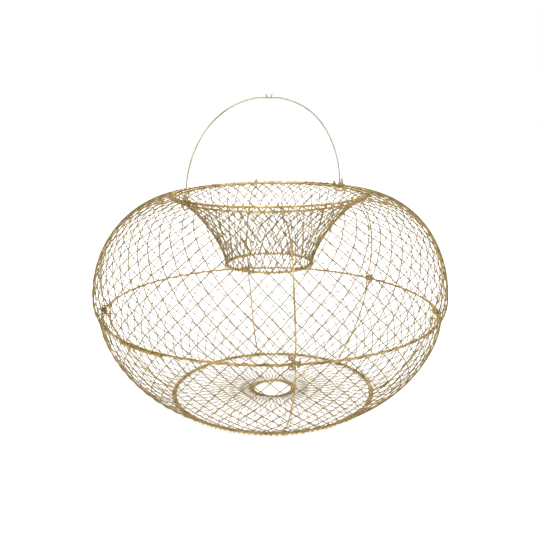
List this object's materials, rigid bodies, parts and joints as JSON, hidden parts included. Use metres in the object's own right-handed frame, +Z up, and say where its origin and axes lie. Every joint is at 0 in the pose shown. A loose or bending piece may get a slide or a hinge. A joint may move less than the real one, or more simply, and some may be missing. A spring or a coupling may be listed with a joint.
{
  "type": "folding crab trap",
  "caption": "Round folding crab trap: diamond wire net on level wire rings, hinged struts, funnel mouth at the top, flat floor and a swinging bail.",
  "frame": {"origin": "middle of the bottom ring, on the surface that the trap stands on", "axes": "+Z up through the rings' centres, +X along the bail's hinge axis, +Y across it"},
  "size_m": [0.4184, 0.4184, 0.359],
  "materials": {
    "ring_wire": "brass-plated steel wire, satin",
    "strut_wire": "brass-plated steel wire, satin",
    "net_wire": "thin brass-plated steel wire, dull",
    "handle_wire": "brass-plated steel wire, satin",
    "hinge_wire": "brass-plated steel wire, worn"
  },
  "bodies": {
    "base": {"bottom_ring": "ring_wire", "bottom_eye_ring": "ring_wire", "floor_net": "net_wire", "lower_net": "net_wire"},
    "middle": {"middle_ring": "ring_wire", "upper_net": "net_wire", "hinge_staple_1": "hinge_wire", "hinge_staple_2": "hinge_wire", "hinge_staple_3": "hinge_wire", "hinge_staple_4": "hinge_wire", "hinge_staple_5": "hinge_wire"},
    "top": {"top_ring": "ring_wire", "rim_ring": "ring_wire", "funnel_net": "net_wire", "bail_loop_left": "handle_wire", "bail_loop_right": "handle_wire"},
    "throat": {"throat_ring": "ring_wire"},
    "handle": {"handle_left": "handle_wire", "handle_right": "handle_wire"},
    "upper_strut_1": {"upper_strut_1": "strut_wire"},
    "lower_strut_1": {"lower_strut_1": "strut_wire"},
    "upper_strut_2": {"upper_strut_2": "strut_wire"},
    "lower_strut_2": {"lower_strut_2": "strut_wire"},
    "upper_strut_3": {"upper_strut_3": "strut_wire"},
    "lower_strut_3": {"lower_strut_3": "strut_wire"},
    "upper_strut_4": {"upper_strut_4": "strut_wire"},
    "lower_strut_4": {"lower_strut_4": "strut_wire"},
    "upper_strut_5": {"upper_strut_5": "strut_wire"},
    "lower_strut_5": {"lower_strut_5": "strut_wire"}
  },
  "joints": [
    {"name": "lower_fold", "type": "slide", "parent": "base", "child": "middle", "axis": [0, 0, -1], "range_m": [0, 0.096], "deforming": ["lower_net"]},
    {"name": "upper_fold", "type": "slide", "parent": "middle", "child": "top", "axis": [0, 0, -1], "range_m": [0, 0.125], "deforming": ["upper_net"]},
    {"name": "throat_lift", "type": "slide", "parent": "top", "child": "throat", "axis": [0, 0, 1], "range_m": [0, 0.0745], "deforming": ["funnel_net"]},
    {"name": "handle_swing", "type": "hinge", "parent": "top", "child": "handle", "pos_m": [0, 0, 0.25163], "axis": [1, 0, 0], "range_deg": [-80, 80]},
    {"name": "upper_hinge_1", "type": "hinge", "parent": "middle", "child": "upper_strut_1", "pos_m": [-0.1028, -0.16452, 0.11503], "axis": [0.5299, 0.848, 0], "range_deg": [0, 90.2]},
    {"name": "lower_hinge_1", "type": "hinge", "parent": "middle", "child": "lower_strut_1", "pos_m": [-0.1028, -0.16452, 0.10503], "axis": [-0.5299, -0.848, 0], "range_deg": [0, 90.2]},
    {"name": "upper_hinge_2", "type": "hinge", "parent": "middle", "child": "upper_strut_2", "pos_m": [0.12727, -0.14641, 0.11503], "axis": [-0.6561, 0.7547, 0], "range_deg": [0, 90.2]},
    {"name": "lower_hinge_2", "type": "hinge", "parent": "middle", "child": "lower_strut_2", "pos_m": [0.12727, -0.14641, 0.10503], "axis": [0.6561, -0.7547, 0], "range_deg": [0, 90.2]},
    {"name": "upper_hinge_3", "type": "hinge", "parent": "middle", "child": "upper_strut_3", "pos_m": [0.19294, 0.02028, 0.11503], "axis": [-0.9945, -0.1045, 0], "range_deg": [0, 90.2]},
    {"name": "lower_hinge_3", "type": "hinge", "parent": "middle", "child": "lower_strut_3", "pos_m": [0.19294, 0.02028, 0.10503], "axis": [0.9945, 0.1045, 0], "range_deg": [0, 90.2]},
    {"name": "upper_hinge_4", "type": "hinge", "parent": "middle", "child": "upper_strut_4", "pos_m": [0.09108, 0.17129, 0.11503], "axis": [-0.4695, -0.8829, 0], "range_deg": [0, 90.2]},
    {"name": "lower_hinge_4", "type": "hinge", "parent": "middle", "child": "lower_strut_4", "pos_m": [0.09108, 0.17129, 0.10503], "axis": [0.4695, 0.8829, 0], "range_deg": [0, 90.2]},
    {"name": "upper_hinge_5", "type": "hinge", "parent": "middle", "child": "upper_strut_5", "pos_m": [-0.16083, 0.10848, 0.11503], "axis": [0.829, -0.5592, 0], "range_deg": [0, 90.2]},
    {"name": "lower_hinge_5", "type": "hinge", "parent": "middle", "child": "lower_strut_5", "pos_m": [-0.16083, 0.10848, 0.10503], "axis": [-0.829, 0.5592, 0], "range_deg": [0, 90.2]}
  ],
  "couplings": [
    {"joint": "throat_lift", "follows": "upper_fold", "ratio": 0.592},
    {"joint": "upper_hinge_1", "follows": "upper_fold", "rad_per_m": 12.566},
    {"joint": "lower_hinge_1", "follows": "lower_fold", "rad_per_m": 16.363},
    {"joint": "upper_hinge_2", "follows": "upper_fold", "rad_per_m": 12.566},
    {"joint": "lower_hinge_2", "follows": "lower_fold", "rad_per_m": 16.363},
    {"joint": "upper_hinge_3", "follows": "upper_fold", "rad_per_m": 12.566},
    {"joint": "lower_hinge_3", "follows": "lower_fold", "rad_per_m": 16.363},
    {"joint": "upper_hinge_4", "follows": "upper_fold", "rad_per_m": 12.566},
    {"joint": "lower_hinge_4", "follows": "lower_fold", "rad_per_m": 16.363},
    {"joint": "upper_hinge_5", "follows": "upper_fold", "rad_per_m": 12.566},
    {"joint": "lower_hinge_5", "follows": "lower_fold", "rad_per_m": 16.363}
  ]
}
